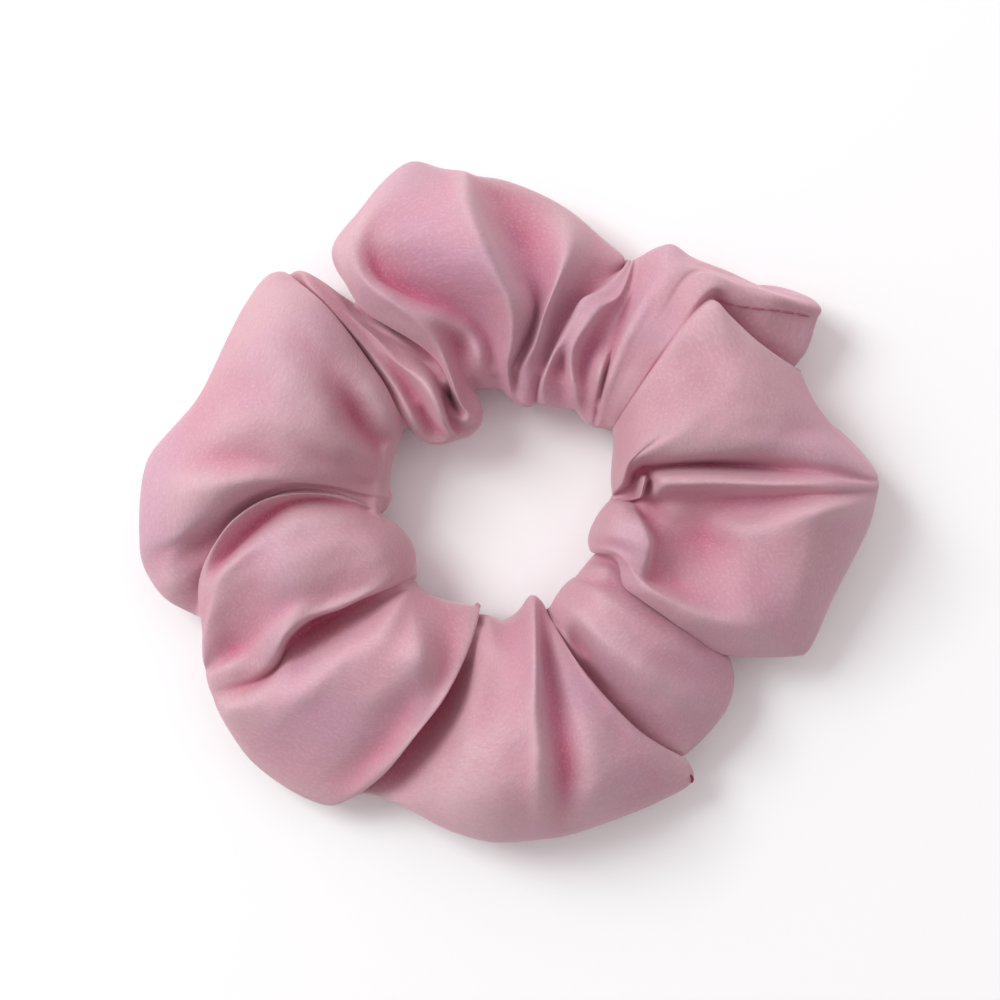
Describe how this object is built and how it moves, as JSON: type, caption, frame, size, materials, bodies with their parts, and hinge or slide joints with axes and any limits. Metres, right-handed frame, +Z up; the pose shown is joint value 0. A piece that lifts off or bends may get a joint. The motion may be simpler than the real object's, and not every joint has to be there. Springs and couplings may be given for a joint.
{
  "type": "hair scrunchie",
  "caption": "Gathered satin ring over a hidden elastic loop, for holding a ponytail or bun.",
  "frame": {"origin": "on the table under the middle of the ring", "axes": "+Z up along the axis of the hole, +X to the right and +Y away, with the closing seam between +X and +Y"},
  "size_m": [0.1149, 0.1064, 0.0274],
  "materials": {
    "satin": "soft satin weave with a low sheen",
    "elastic": "matte braided elastic",
    "white_thread": "spun polyester thread",
    "rose_thread": "spun polyester thread",
    "maroon_thread": "spun polyester thread"
  },
  "bodies": {
    "cover": {"satin_cover": "satin", "side_seam_needle_thread": "rose_thread", "side_seam_bobbin_thread": "rose_thread", "closing_seam_needle_thread": "rose_thread", "closing_seam_bobbin_thread": "rose_thread", "seam_end_thread": "maroon_thread"},
    "elastic": {"elastic_band": "elastic", "elastic_join_thread": "white_thread"}
  },
  "joints": [
    {"name": "elastic_slip", "type": "hinge", "parent": "cover", "child": "elastic", "pos_m": [0, 0, 0.0094], "axis": [0, 0, 1], "continuous": true}
  ]
}
